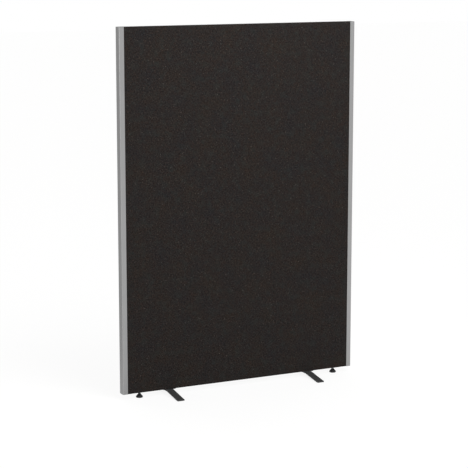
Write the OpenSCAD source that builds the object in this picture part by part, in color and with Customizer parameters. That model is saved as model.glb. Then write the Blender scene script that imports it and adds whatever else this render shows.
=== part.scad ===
// Floor standing fabric screen: an upholstered timber panel with aluminium
// edge trims, two bent flat bar feet and two levelling glides.
// Millimetres. The origin is on the floor under the middle of the panel,
// X runs along the panel, the front faces -Y and Z is up.

/* [Screen] */
// Width of the screen over both edge trims
screen_w = 1200; // [760:10:1800]
// Height of the upholstered panel
panel_h = 1670; // [1000:10:2000]
// Height of the panel's lower edge above the floor
floor_gap = 26; // [25:1:40]

/* [Timber frame] */
// Thickness of the frame from front to back
frame_t = 30; // [26:1:45]
// Width of each upright stile
stile_w = 45; // [40:1:50]
// Height of the top rail
top_rail_h = 45; // [32:1:80]
// Height of the middle rail
mid_rail_h = 45; // [32:1:80]
// Height of the bottom rail
bottom_rail_h = 70; // [62:1:110]
// Diameter of the dowels that join the rails to the stiles
dowel_d = 8; // [6:1:10]
// Length of a dowel
dowel_l = 50; // [36:2:56]
// Distance between the two dowels of one joint
dowel_pitch = 20; // [14:1:21]

/* [Boards and cover] */
// Thickness of the hardboard on each side of the frame
board_t = 3; // [2:0.5:9]
// Thickness of the woven cover
cover_t = 1; // [0.8:0.1:2]
// Outside radius of the cover where it turns round an edge
cover_corner_r = 2; // [1:0.5:3]

/* [Edge trims] */
// How far a trim reaches over the face of the cover
trim_reach = 24; // [16:1:35]
// Wall thickness of the trim
trim_wall = 1.5; // [1:0.1:3]
// Outside radius of the trim's two long corners
trim_corner_r = 5; // [3.5:0.5:8]
// Thickness of the spine that holds the trim in the stile
spine_t = 1.6; // [1.2:0.1:2.5]
// Length of the spine inside the stile's groove
spine_l = 12; // [8:1:18]
// How far each barb stands out of the spine
barb_h = 0.5; // [0.3:0.1:0.8]
// Distance between barbs along the spine
barb_pitch = 3; // [2:0.5:4]

/* [Feet] */
// Length of a foot from toe to toe
foot_len = 291; // [220:1:500]
// Width of the flat bar
foot_w = 35; // [30:1:58]
// Thickness of the flat bar
foot_t = 6; // [4:0.5:8]
// Distance from the screen's outer edge to the middle of a foot
foot_inset = 235; // [160:1:300]
// Radius of the bar's end corners
foot_corner_r = 4; // [1:0.5:10]
// Length of the level seat under the panel
foot_seat_l = 44; // [36:1:60]
// Length of the level toe at each end
foot_toe_l = 12; // [10:1:30]
// Radius of the bends along the middle of the bar
foot_bend_r = 18; // [10:1:30]
// Length of the spacer plate between the foot and the panel, along the panel
foot_plate_l = 60; // [40:1:100]
// Width of the spacer plate from front to back
foot_plate_w = 32; // [20:1:38]
// Thickness of the spacer plate
foot_plate_t = 3; // [2:0.5:4]

/* [Foot bolts] */
// Thread diameter of the foot bolts
foot_bolt_d = 6; // [5:1:8]
// Length of a foot bolt under its head
foot_bolt_l = 30; // [24:1:40]
// Distance between the two bolts of a foot
foot_bolt_pitch = 18; // [14:1:20]
// Size of the bolt head across its flats
foot_bolt_head_w = 10; // [9:0.5:12]
// Height of the bolt head
foot_bolt_head_h = 4; // [3:0.5:6]
// Outside diameter of the threaded insert for a foot bolt
foot_insert_d = 10; // [9:0.5:12]
// Length of the threaded insert for a foot bolt
foot_insert_l = 18; // [12:1:20]

/* [Levelling glides] */
// Distance from the screen's outer edge to a glide's axis
glide_inset = 89; // [84:1:110]
// Diameter of the glide's base
glide_base_d = 32; // [24:1:44]
// Height of the base's upright rim
glide_rim_h = 7; // [5:0.5:8]
// Height of the cone above the rim
glide_cone_h = 10; // [8:1:11]
// Diameter of the neck above the cone
glide_neck_d = 12; // [11:0.5:16]
// Height of the neck
glide_neck_h = 3; // [1:0.5:4]
// Radius of the base's lower edge
glide_edge_r = 2.5; // [1:0.5:3]
// Thread diameter of the glide's stud
glide_stud_d = 8; // [6:1:9]
// Length of the stud
glide_stud_l = 52; // [46:1:60]
// Depth of the socket that the stud turns in
glide_socket_h = 10; // [6:1:14]
// How far the glide screws up from where it is set
glide_up = 5; // [2:1:5]
// Outside diameter of the threaded insert for a glide
glide_insert_d = 12; // [11:0.5:16]
// Length of the threaded insert for a glide
glide_insert_l = 20; // [12:1:22]

/* [Staples] */
// Width of a staple
staple_w = 10; // [8:1:14]
// Length of a staple's legs
staple_leg_l = 10; // [6:1:14]
// Thickness of the staple wire
staple_wire = 0.8; // [0.6:0.1:1.2]
// Distance from one staple to the next along a row
staple_pitch = 70; // [50:5:150]
// Distance from the seam to a row of staples
staple_row = 6; // [4:0.5:10]

/* [Fits] */
// How much wider than its bolt or stud a clearance hole is
hole_allowance = 0.6; // [0.4:0.1:1.2]
// Radial gap round a part that turns or slides
running_gap = 0.05; // [0.02:0.01:0.1]
// Gap round a part that is pressed or screwed in
snug_gap = 0.05; // [0.02:0.01:0.1]

/* [Hidden] */
$fn = 48;

left = -1;
right = 1;

// Heights of the panel and of what is inside the cover
panel_low = floor_gap;
panel_high = floor_gap + panel_h;
core_low = panel_low + cover_t;
core_high = panel_high - cover_t;

// Distances from the middle plane, front and back alike
frame_y = frame_t / 2;
board_y = frame_y + board_t;
cover_y = board_y + cover_t;

// Distances from the middle of the screen, left and right alike
trim_space = trim_corner_r - trim_wall;
cover_x = screen_w / 2 - trim_wall - trim_space;
core_x = cover_x - cover_t;
stile_x = core_x - stile_w;
foot_x = screen_w / 2 - foot_inset;
glide_x = screen_w / 2 - glide_inset;

// Rails
bottom_rail_top = core_low + bottom_rail_h;
top_rail_low = core_high - top_rail_h;
mid_rail_low = (bottom_rail_top + top_rail_low - mid_rail_h) / 2;
mid_rail_top = mid_rail_low + mid_rail_h;

// Groove in the stile's outer edge for the trim's spine, and the share of
// the barb pitch over which a barb rises
groove_w = spine_t + 2 * barb_h + 2 * snug_gap;
groove_end_gap = 1;
groove_end_x = core_x - spine_l - groove_end_gap;
barb_taper = 0.8;

// Feet: levels of the bar along its middle line
seat_top = panel_low - foot_plate_t;
seat_low = seat_top - foot_t;
seat_mid = seat_top - foot_t / 2;
toe_mid = foot_t / 2;
arm_run = foot_len / 2 - foot_toe_l - foot_seat_l / 2;
arm_angle = atan2(seat_mid - toe_mid, arm_run);
bend_back = foot_bend_r * tan(arm_angle / 2);
bend_steps = 6;
edge_steps = 6;

// Foot bolts and their holes
foot_bolt_hole_d = foot_bolt_d + hole_allowance;
foot_bolt_top = seat_low + foot_bolt_l;
hole_end_room = 3;

// Glides
glide_base_h = glide_rim_h + glide_cone_h + glide_neck_h;
glide_shoulder = 1;
stud_low = glide_base_h - glide_socket_h;
stud_top = stud_low + glide_stud_l;
stud_hole_d = glide_stud_d + hole_allowance;
stud_hole_top = stud_top + glide_up + hole_end_room;
stud_chamfer = 1;

// How far a cutting shape runs past what it cuts
cut = 1;

cover_colour = "#2d2a28";
trim_colour = "#a5a6a7";
foot_colour = "#323233";
glide_colour = "#1b1b1c";
timber_colour = "#cda974";
board_colour = "#7d5a3a";
core_colour = "#dccfb4";
dowel_colour = "#dfc08f";
steel_colour = "#a9abad";
insert_colour = "#b9a15c";

// A block between two corners
module block(low, high) {
    translate(low) cube(high - low);
}

// Points of an arc, from angle a0 to angle a1 about a centre
function arc(centre, r, a0, a1, steps) = [
    for (i = [0 : steps])
        let (a = a0 + (a1 - a0) * i / steps)
            [centre.x + r * cos(a), centre.y + r * sin(a)]
];

function backwards(points) = [
    for (i = [len(points) - 1 : -1 : 0]) points[i]
];

function other_half(points) = [
    for (p = backwards(points)) [-p.x, p.y]
];

// A rectangle with round corners, centred
module round_rectangle(w, l, r) {
    square([w - 2 * r, l], center = true);
    square([w, l - 2 * r], center = true);
    for (sx = [-1, 1])
        for (sy = [-1, 1])
            translate([sx * (w / 2 - r), sy * (l / 2 - r)]) circle(r);
}

// The two dowel heights of a rail between two levels
function dowel_levels(low, high) = [
    (low + high - dowel_pitch) / 2,
    (low + high + dowel_pitch) / 2
];

// Dowels, or their holes when gap is above 0, of one rail at both its ends
module dowel_set(low, high, gap) {
    length = dowel_l + 2 * gap;
    for (side = [left, right])
        for (z = dowel_levels(low, high))
            translate([side * stile_x - length / 2, 0, z])
                rotate([0, 90, 0]) cylinder(h = length, d = dowel_d + 2 * gap);
}

module all_dowels(gap) {
    dowel_set(core_low, bottom_rail_top, gap);
    dowel_set(mid_rail_low, mid_rail_top, gap);
    dowel_set(top_rail_low, core_high, gap);
}

module rail(low, high) {
    difference() {
        block([-stile_x, -frame_y, low], [stile_x, frame_y, high]);
        dowel_set(low, high, snug_gap);
    }
}

module top_rail() {
    color(timber_colour) rail(top_rail_low, core_high);
}

module middle_rail() {
    color(timber_colour) rail(mid_rail_low, mid_rail_top);
}

// The bottom rail takes the inserts of the glides and of the foot bolts
module bottom_rail() {
    color(timber_colour) difference() {
        rail(core_low, bottom_rail_top);
        for (side = [left, right]) {
            translate([side * glide_x, 0, core_low - cut]) {
                cylinder(h = glide_insert_l + cut, d = glide_insert_d + 2 * snug_gap);
                cylinder(h = stud_hole_top - core_low + cut, d = stud_hole_d);
            }
            at_foot_bolts(side) translate([0, 0, core_low - cut]) {
                cylinder(h = foot_insert_l + cut, d = foot_insert_d + 2 * snug_gap);
                cylinder(h = foot_bolt_top + hole_end_room - core_low + cut,
                         d = foot_bolt_hole_d);
            }
        }
    }
}

module stile(side) {
    difference() {
        block([min(side * stile_x, side * core_x), -frame_y, core_low],
              [max(side * stile_x, side * core_x), frame_y, core_high]);
        block([min(side * groove_end_x, side * screen_w), -groove_w / 2, core_low - cut],
              [max(side * groove_end_x, side * screen_w), groove_w / 2, core_high + cut]);
        all_dowels(snug_gap);
    }
}

module left_stile() {
    color(timber_colour) stile(left);
}

module right_stile() {
    color(timber_colour) stile(right);
}

module frame_dowels() {
    color(dowel_colour) all_dowels(0);
}

module core(low, high) {
    block([-stile_x, -frame_y, low], [stile_x, frame_y, high]);
}

module upper_core() {
    color(core_colour) core(mid_rail_top, top_rail_low);
}

module lower_core() {
    color(core_colour) core(bottom_rail_top, mid_rail_low);
}

module board(side_low, side_high) {
    block([-core_x, side_low, core_low], [core_x, side_high, core_high]);
}

module front_board() {
    color(board_colour) board(-board_y, -frame_y);
}

module rear_board() {
    color(board_colour) board(frame_y, board_y);
}

// A block whose edges along X and along Z are round
module wrapped_block() {
    r = cover_corner_r;
    intersection() {
        translate([0, 0, (panel_low + panel_high) / 2])
            rotate([0, 90, 0])
                linear_extrude(height = 2 * cover_x, center = true)
                    round_rectangle(panel_h, 2 * cover_y, r);
        translate([0, 0, panel_low])
            linear_extrude(height = panel_h)
                round_rectangle(2 * cover_x, 2 * cover_y, r);
    }
}

// One cover: its face, and its margins turned in to the middle of each edge,
// slit where the trim's spine passes
module cover(facing) {
    y_low = min(0, facing * (cover_y + cut));
    y_high = max(0, facing * (cover_y + cut));
    difference() {
        intersection() {
            wrapped_block();
            block([-screen_w, y_low, 0], [screen_w, y_high, panel_high + cut]);
        }
        block([-core_x, -board_y, core_low], [core_x, board_y, core_high]);
        for (side = [left, right]) {
            block([min(side * groove_end_x, side * screen_w), -groove_w / 2, 0],
                  [max(side * groove_end_x, side * screen_w), groove_w / 2, panel_high + cut]);
            translate([side * glide_x, 0, 0])
                cylinder(h = core_low + cut, d = stud_hole_d);
            at_foot_bolts(side) cylinder(h = core_low + cut, d = foot_bolt_hole_d);
        }
    }
}

module front_cover() {
    color(cover_colour) cover(-1);
}

module rear_cover() {
    color(cover_colour) cover(1);
}

// Staple places: none where a foot plate, a glide or a stile is
function staple_free(x) =
    abs(abs(x) - foot_x) > (foot_plate_l + staple_w) / 2 + staple_wire
    && abs(abs(x) - glide_x) > (glide_insert_d + staple_w) / 2 + staple_wire
    && abs(x) < stile_x - staple_w;

module staple() {
    low = panel_low - staple_wire;
    translate([0, staple_wire / 2, low]) rotate([90, 0, 0])
        linear_extrude(height = staple_wire) difference() {
            translate([-staple_w / 2, 0])
                square([staple_w, staple_leg_l + staple_wire]);
            translate([-staple_w / 2 + staple_wire, staple_wire])
                square([staple_w - 2 * staple_wire, staple_leg_l + cut]);
        }
}

module cover_staples() {
    count = floor(cover_x / staple_pitch);
    color(steel_colour)
        for (i = [-count : count])
            if (staple_free(i * staple_pitch))
                for (row = [-1, 1])
                    translate([i * staple_pitch, row * staple_row, 0]) staple();
}

// Plan of a trim's channel with its outer face at x = 0, running towards -X
module channel_plan() {
    half = cover_y + trim_wall;
    r_in = trim_corner_r - trim_wall;
    difference() {
        union() {
            translate([-trim_reach, -half]) square([trim_reach - trim_corner_r, 2 * half]);
            translate([-trim_corner_r - cut, -half + trim_corner_r])
                square([trim_corner_r + cut, 2 * (half - trim_corner_r)]);
            for (s = [-1, 1])
                translate([-trim_corner_r, s * (half - trim_corner_r)]) circle(trim_corner_r);
        }
        translate([-trim_reach - cut, -cover_y])
            square([trim_reach + cut - trim_corner_r, 2 * cover_y]);
        translate([-trim_corner_r - cut, -cover_y + r_in])
            square([trim_corner_r + cut - trim_wall, 2 * (cover_y - r_in)]);
        for (s = [-1, 1])
            translate([-trim_corner_r, s * (cover_y - r_in)]) circle(r_in);
    }
}

// The spine runs from the trim's web into the stile, with barbs on both sides
module spine_plan() {
    tip = trim_corner_r + cover_t + spine_l;
    half = spine_t / 2;
    barbs = floor(spine_l / barb_pitch) - 1;
    one_side = concat(
        [for (i = [0 : barbs])
            for (p = [[0, half], [barb_pitch * barb_taper, half + barb_h],
                      [barb_pitch * barb_taper, half]])
                [i * barb_pitch - tip + p.x, p.y]],
        [[-trim_wall / 2, half]]);
    polygon(concat(one_side, [for (p = backwards(one_side)) [p.x, -p.y]]));
}

module trim(side) {
    translate([side * screen_w / 2, 0, panel_low])
        mirror([side < 0 ? 1 : 0, 0, 0]) {
            linear_extrude(height = panel_h) channel_plan();
            linear_extrude(height = panel_h) spine_plan();
        }
}

module left_edge_trim() {
    color(trim_colour) trim(left);
}

module right_edge_trim() {
    color(trim_colour) trim(right);
}

// Side view of half a foot: top line outwards, then the bottom line back in
function foot_line(out_r, in_r, toe_level) = concat(
    arc([foot_seat_l / 2 - bend_back, seat_mid - foot_bend_r],
        out_r, 90, 90 - arm_angle, bend_steps),
    arc([foot_len / 2 - foot_toe_l + bend_back, toe_mid + foot_bend_r],
        in_r, 270 - arm_angle, 270, bend_steps),
    [[foot_len / 2, toe_level]]
);

module foot_side() {
    thick = foot_bend_r + foot_t / 2;
    thin = foot_bend_r - foot_t / 2;
    top = foot_line(thick, thin, foot_t);
    low = foot_line(thin, thick, 0);
    polygon(concat(other_half(top), top, backwards(low), other_half(backwards(low))));
}

module at_foot_bolts(side) {
    for (s = [-1, 1])
        translate([side * foot_x + s * foot_bolt_pitch / 2, 0, 0]) children();
}

module foot_bar(side) {
    difference() {
        intersection() {
            translate([side * foot_x - foot_w, 0, 0])
                rotate([90, 0, 90]) linear_extrude(height = 2 * foot_w) foot_side();
            translate([side * foot_x, 0, -cut])
                linear_extrude(height = panel_low + 2 * cut)
                    round_rectangle(foot_w, foot_len, foot_corner_r);
        }
        at_foot_bolts(side)
            translate([0, 0, -cut]) cylinder(h = panel_low, d = foot_bolt_hole_d);
    }
}

module left_foot_bar() {
    color(foot_colour) foot_bar(left);
}

module right_foot_bar() {
    color(foot_colour) foot_bar(right);
}

module foot_plate(side) {
    difference() {
        translate([side * foot_x - foot_plate_l / 2, -foot_plate_w / 2, seat_top])
            cube([foot_plate_l, foot_plate_w, foot_plate_t]);
        at_foot_bolts(side)
            translate([0, 0, seat_top - cut])
                cylinder(h = foot_plate_t + 2 * cut, d = foot_bolt_hole_d);
    }
}

module left_foot_plate() {
    color(foot_colour) foot_plate(left);
}

module right_foot_plate() {
    color(foot_colour) foot_plate(right);
}

module foot_bolt() {
    head_corner_d = foot_bolt_head_w / cos(30);
    translate([0, 0, seat_low - foot_bolt_head_h])
        cylinder(h = foot_bolt_head_h, d = head_corner_d, $fn = 6);
    translate([0, 0, seat_low]) cylinder(h = foot_bolt_l, d = foot_bolt_d);
}

module left_foot_bolts() {
    color(steel_colour) at_foot_bolts(left) foot_bolt();
}

module right_foot_bolts() {
    color(steel_colour) at_foot_bolts(right) foot_bolt();
}

module threaded_insert(outer_d, bore_d, length) {
    difference() {
        translate([0, 0, core_low]) cylinder(h = length, d = outer_d);
        translate([0, 0, core_low - cut]) cylinder(h = length + 2 * cut, d = bore_d);
    }
}

module foot_inserts() {
    color(insert_colour)
        for (side = [left, right])
            at_foot_bolts(side)
                threaded_insert(foot_insert_d, foot_bolt_d + 2 * snug_gap, foot_insert_l);
}

module glide_insert(side) {
    translate([side * glide_x, 0, 0])
        threaded_insert(glide_insert_d, glide_stud_d + 2 * running_gap, glide_insert_l);
}

module left_glide_insert() {
    color(insert_colour) glide_insert(left);
}

module right_glide_insert() {
    color(insert_colour) glide_insert(right);
}

// The stud stands on the floor of the base's socket and screws into the insert
module glide_stud(side) {
    translate([side * glide_x, 0, stud_low]) {
        cylinder(h = glide_stud_l - stud_chamfer, d = glide_stud_d);
        translate([0, 0, glide_stud_l - stud_chamfer])
            cylinder(h = stud_chamfer, d1 = glide_stud_d,
                     d2 = glide_stud_d - 2 * stud_chamfer);
    }
}

module left_glide_stud() {
    color(steel_colour) glide_stud(left);
}

module right_glide_stud() {
    color(steel_colour) glide_stud(right);
}

// The base is turned: rim, cone and neck, with a socket from above
module glide_base(side) {
    r = glide_base_d / 2;
    neck_r = glide_neck_d / 2;
    socket_r = glide_stud_d / 2 + running_gap;
    edge = arc([r - glide_edge_r, glide_edge_r], glide_edge_r, -90, 0, edge_steps);
    translate([side * glide_x, 0, 0])
        rotate_extrude()
            polygon(concat([[0, 0]], edge,
                           [[r, glide_rim_h - glide_shoulder],
                            [r - glide_shoulder, glide_rim_h],
                            [neck_r, glide_rim_h + glide_cone_h],
                            [neck_r, glide_base_h],
                            [socket_r, glide_base_h],
                            [socket_r, stud_low],
                            [0, stud_low]]));
}

module left_glide_base() {
    color(glide_colour) glide_base(left);
}

module right_glide_base() {
    color(glide_colour) glide_base(right);
}

top_rail();
middle_rail();
bottom_rail();
left_stile();
right_stile();
frame_dowels();
upper_core();
lower_core();
front_board();
rear_board();
front_cover();
rear_cover();
cover_staples();
left_edge_trim();
right_edge_trim();
left_foot_bar();
right_foot_bar();
left_foot_plate();
right_foot_plate();
left_foot_bolts();
right_foot_bolts();
foot_inserts();
left_glide_insert();
right_glide_insert();
left_glide_stud();
right_glide_stud();
left_glide_base();
right_glide_base();
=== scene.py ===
# %% [markdown]
# A floor standing fabric screen, dressed for rendering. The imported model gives
# every piece at its real size in metres, with the origin on the floor under the
# middle of the panel, the front facing -Y and Z up. This script keeps that frame
# fixed and adds what the eye judges: woven covers, extruded trims, bent feet,
# moulded glides, screw threads and a finish for every piece. Meshes and textures
# are sized in millimetres and scaled where they are made; the camera and the
# lamps are placed in metres.

# %% Load the frame
import math

import bpy
import numpy as np
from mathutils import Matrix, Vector


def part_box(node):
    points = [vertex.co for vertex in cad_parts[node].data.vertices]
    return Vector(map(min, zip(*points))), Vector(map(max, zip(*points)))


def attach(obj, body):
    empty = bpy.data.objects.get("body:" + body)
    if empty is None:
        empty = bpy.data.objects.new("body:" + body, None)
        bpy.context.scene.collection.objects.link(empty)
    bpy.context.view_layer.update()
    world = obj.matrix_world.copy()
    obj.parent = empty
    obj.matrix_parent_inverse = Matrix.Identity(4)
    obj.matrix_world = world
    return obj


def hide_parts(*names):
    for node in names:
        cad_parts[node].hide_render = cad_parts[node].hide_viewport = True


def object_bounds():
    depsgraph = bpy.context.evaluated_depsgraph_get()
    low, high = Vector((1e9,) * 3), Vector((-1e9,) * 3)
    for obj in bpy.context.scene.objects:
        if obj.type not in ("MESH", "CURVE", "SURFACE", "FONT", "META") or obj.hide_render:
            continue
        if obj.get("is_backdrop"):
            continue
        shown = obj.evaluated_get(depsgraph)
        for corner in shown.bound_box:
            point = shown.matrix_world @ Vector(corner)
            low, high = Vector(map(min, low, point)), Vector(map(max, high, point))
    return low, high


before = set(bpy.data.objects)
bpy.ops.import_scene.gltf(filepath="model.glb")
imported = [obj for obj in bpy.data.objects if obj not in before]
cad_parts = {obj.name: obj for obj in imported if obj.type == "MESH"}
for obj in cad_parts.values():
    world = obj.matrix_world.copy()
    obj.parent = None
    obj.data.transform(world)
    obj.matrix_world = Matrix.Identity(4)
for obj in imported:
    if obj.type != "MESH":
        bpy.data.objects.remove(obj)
cad_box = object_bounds()
MM = 0.001

# %% [markdown]
# A few helpers serve the whole script. Colours are written as sRGB hex, as a
# screen shows them, and turned to the linear values that the shader
# computes with. A node tree is easier to read as a list of nodes with their
# inputs, so one function adds a node, sets it and links it, and another ends a
# tree with its shader. The sockets of a mix node share their names, so they go
# by number: 0 is the share of the second value, and the two values are 2 and 3
# for numbers, 4 and 5 for vectors, 6 and 7 for colours.

# %% Helpers for objects, colours and nodes
def link(thing):
    """Put an object in the scene and hand it back."""
    bpy.context.scene.collection.objects.link(thing)
    return thing


def mesh_object(name, points, faces, finish=None):
    """A mesh object in the scene from points in millimetres and faces."""
    mesh = bpy.data.meshes.new(name)
    mesh.from_pydata((np.asarray(points) * MM).tolist(), [], faces)
    if finish:
        mesh.materials.append(finish)
    return link(bpy.data.objects.new(name, mesh))


def linear(colour):
    """sRGB hex to linear: c / 12.92 for the darkest tones, else ((c + 0.055) / 1.055) to the power 2.4."""
    srgb = np.array([int(colour[i:i + 2], 16) for i in (1, 3, 5)]) / 255
    values = np.where(srgb <= 0.04045, srgb / 12.92, ((srgb + 0.055) / 1.055) ** 2.4)
    return (*values.tolist(), 1.0)


def add(tree, kind, inputs=None, **settings):
    """Add a node. Settings are its own properties. Inputs give a socket a value, a colour in hex or what
    feeds it: an output, or a node, which stands for its first output in use."""
    node = tree.nodes.new("ShaderNode" + kind)
    for name, value in settings.items():
        setattr(node, name, value)
    for name, value in (inputs or {}).items():
        if isinstance(value, bpy.types.Node):
            value = next(output for output in value.outputs if output.enabled)
        if isinstance(value, bpy.types.NodeSocket):
            tree.links.new(value, node.inputs[name])
        else:
            node.inputs[name].default_value = linear(value) if isinstance(value, str) else value
    return node


def new_finish(name):
    """An empty material and its node tree."""
    finish = bpy.data.materials.new(name)
    finish.use_nodes = True
    finish.node_tree.nodes.clear()
    return finish, finish.node_tree


def end_finish(tree, colour, values, relief=None):
    """Add the shader with its colour and other values, and the output. A relief adds a bump: the node that
    gives the height, a strength and a height in millimetres."""
    if relief:
        bump = {"Height": relief[0], "Strength": relief[1], "Distance": relief[2] * MM}
        values = {"Normal": add(tree, "Bump", bump), **values}
    shader = add(tree, "BsdfPrincipled", {"Base Color": colour, **values})
    add(tree, "OutputMaterial", {"Surface": shader})


print("sRGB mid grey is", round(linear("#808080")[0], 4), "in linear light")

# %% [markdown]
# The camera stands to the left of the front and a little above the panel, far
# enough away for a long lens. An aim point, two angles and a distance are
# easier to read and to change than its coordinates. The lens has no shift, so
# other views taken with this camera stay centred.

# %% Camera
AIM = Vector((-0.025, 0.0, 0.725))
CAMERA_AZIMUTH = -26.37
CAMERA_ELEVATION = 10.01
CAMERA_DISTANCE = 7.712
LENS_MM = 127.4
SENSOR_MM = 36.0


def direction(azimuth, elevation):
    """Unit vector towards a viewer, (sin a cos e, -cos a cos e, sin e). Azimuth a is 0 in front and 90 on the
    right, elevation e is above the floor."""
    a = math.radians(azimuth)
    e = math.radians(elevation)
    return Vector((math.sin(a) * math.cos(e), -math.cos(a) * math.cos(e), math.sin(e)))


towards_camera = direction(CAMERA_AZIMUTH, CAMERA_ELEVATION)
lens = bpy.data.cameras.new("camera")
lens.lens = LENS_MM
lens.sensor_width = SENSOR_MM
camera = link(bpy.data.objects.new("camera", lens))
camera.location = AIM + CAMERA_DISTANCE * towards_camera
camera.rotation_euler = towards_camera.to_track_quat("Z", "Y").to_euler()
bpy.context.scene.camera = camera
print("camera at", [round(c, 3) for c in camera.location])

# %% [markdown]
# The studio is a plain pale floor under an even sky. The picture's background is
# white, and so is what glossy surfaces mirror, so the world is white for camera,
# glossy and transmission rays and dimmer for the light that falls on the object.
# The far left end of the studio is unlit, and mirrored rays that look there come
# back greyer, from sky and floor alike: that sets the side of a trim apart from
# its front. The floor adds some of its own light for the rays that draw the
# background, so that its lit parts reach white while the shadow stays on it.

# %% Floor and world
SKY_LEVEL = 0.36
UNLIT_END = -150
UNLIT_LEVEL = 0.66
SKY_FALL = (0.3, 0.9)
FLOOR_FALL = (-0.9, 1.2)
FLOOR_LIT = 1.24
FLOOR_SEEN = 1.08
FLOOR_HALF = 30000.0
FLOOR_GLOW = 0.8


def picture_rays(tree):
    """A node that gives 1 for the rays that draw the background: from the camera, mirrored or let through."""
    rays = add(tree, "LightPath")
    mirrored = add(tree, "Math", {0: rays.outputs["Is Camera Ray"], 1: rays.outputs["Is Glossy Ray"]},
                   operation="MAXIMUM")
    return add(tree, "Math", {0: mirrored, 1: rays.outputs["Is Transmission Ray"]}, operation="MAXIMUM")


def picture_level(tree, place, fall, lit_level, camera_level):
    """A node that gives the camera level for camera rays. For others it goes from the lit to the unlit level
    while the place goes from the fall's start to its end, measured towards the unlit end of the studio."""
    along = add(tree, "VectorMath", {0: place, 1: direction(UNLIT_END, 0)}, operation="DOT_PRODUCT")
    other = add(tree, "MapRange", {"Value": along, "From Min": fall[0], "From Max": fall[1],
                                   "To Min": lit_level, "To Max": UNLIT_LEVEL})
    rays = add(tree, "LightPath")
    return add(tree, "Mix", {0: rays.outputs["Is Camera Ray"], 2: other, 3: camera_level})


world = bpy.data.worlds.new("studio")
bpy.context.scene.world = world
world.use_nodes = True
sky = world.node_tree
sky.nodes.clear()
looking = add(sky, "TexCoord").outputs["Generated"]
lit_by = add(sky, "Background", {"Color": (1, 1, 1, 1), "Strength": SKY_LEVEL})
level = picture_level(sky, looking, SKY_FALL, 1.0, 1.0)
seen_as = add(sky, "Background", {"Color": (1, 1, 1, 1), "Strength": level})
sky_mix = add(sky, "MixShader", {0: picture_rays(sky), 1: lit_by, 2: seen_as})
add(sky, "OutputWorld", {"Surface": sky_mix})

pale_floor, tree = new_finish("pale_studio_floor")
place = add(tree, "TexCoord").outputs["Object"]
glow = add(tree, "Math", {0: picture_rays(tree), 1: FLOOR_GLOW}, operation="MULTIPLY")
paint = add(tree, "BsdfDiffuse", {"Color": "#ececeb"})
level = picture_level(tree, place, FLOOR_FALL, FLOOR_LIT, FLOOR_SEEN)
white = add(tree, "Emission", {"Color": (1, 1, 1, 1), "Strength": level})
floor_mix = add(tree, "MixShader", {0: glow, 1: paint, 2: white})
add(tree, "OutputMaterial", {"Surface": floor_mix})

corners = [(x * FLOOR_HALF, y * FLOOR_HALF, 0) for x, y in ((-1, -1), (1, -1), (1, 1), (-1, 1))]
floor = mesh_object("floor", corners, [(0, 1, 2, 3)], pale_floor)
floor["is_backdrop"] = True
print("floor:", 2 * FLOOR_HALF * MM, "m across, sky level", SKY_LEVEL)

# %% [markdown]
# The lamps are suns with a wide disc, which act as very large softboxes: their
# light doesn't fall off, so a colour renders about as it is written anywhere on
# the object, and their shadows have no hard edge. The key is in front on the
# right, so the screen's left edge is in half shade, and weaker ones keep the
# back and the sides readable; the left one also draws the thin line of light
# along the rounded corner of the trim. A real softbox high in front adds the
# slow fall of light from the top of the cloth to its foot. The others are
# hidden from mirrored rays: the trims show the even studio and are as bright at
# the foot as at the top.

# %% Lamps
SUNS = {
    "key_sun": {"azimuth": 28, "elevation": 24, "energy": 0.85, "spread": 66, "mirrored": False},
    "rear_sun": {"azimuth": 168, "elevation": 32, "energy": 1.2, "spread": 80, "mirrored": False},
    "left_sun": {"azimuth": -66, "elevation": 8, "energy": 0.7, "spread": 24, "mirrored": True},
    "right_sun": {"azimuth": 95, "elevation": 24, "energy": 0.35, "spread": 80, "mirrored": False},
}
SOFTBOX_SIZE = 1.6
SOFTBOX_AZIMUTH = 8
SOFTBOX_ELEVATION = 42
SOFTBOX_DISTANCE = 2.2
SOFTBOX_WATTS = 40


def hang(name, kind, energy, towards, mirrored=False):
    """A lamp that shines from a direction; mirrored says whether mirrored rays can see it."""
    lamp = bpy.data.lights.new(name, kind)
    lamp.energy = energy
    holder = link(bpy.data.objects.new(name, lamp))
    holder.rotation_euler = towards.to_track_quat("Z", "Y").to_euler()
    holder.visible_glossy = mirrored
    return holder


for name, sun in SUNS.items():
    towards_sun = direction(sun["azimuth"], sun["elevation"])
    holder = hang(name, "SUN", sun["energy"], towards_sun, sun["mirrored"])
    holder.data.angle = math.radians(sun["spread"])

towards_box = direction(SOFTBOX_AZIMUTH, SOFTBOX_ELEVATION)
softbox = hang("softbox", "AREA", SOFTBOX_WATTS, towards_box)
softbox.data.size = SOFTBOX_SIZE
softbox.location = Vector((0, 0, cad_box[1].z)) + SOFTBOX_DISTANCE * towards_box
print("lamps:", len(SUNS), "suns and a softbox")

# %% [markdown]
# Every new piece is a grid of points worked out with numpy. Rows follow the
# piece, columns go round or across it, and quads join the neighbours. Counted
# so that columns turn anticlockwise seen from the far end, the faces point
# outwards. A closed tube ends in a fan of triangles to the middle of its last
# ring, or in one flat face where the ring isn't convex.

# %% Grids and tubes
def grid_faces(rows, columns, closed=False):
    """Quads between neighbouring rows and columns of a grid. A closed one also joins its last column to its
    first."""
    number = np.arange(rows * columns).reshape(rows, columns)
    beside = np.roll(number, -1, axis=1)
    quads = np.stack([number[:-1], beside[:-1], beside[1:], number[1:]], axis=-1)
    return quads[:, :columns if closed else columns - 1].reshape(-1, 4)


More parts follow.
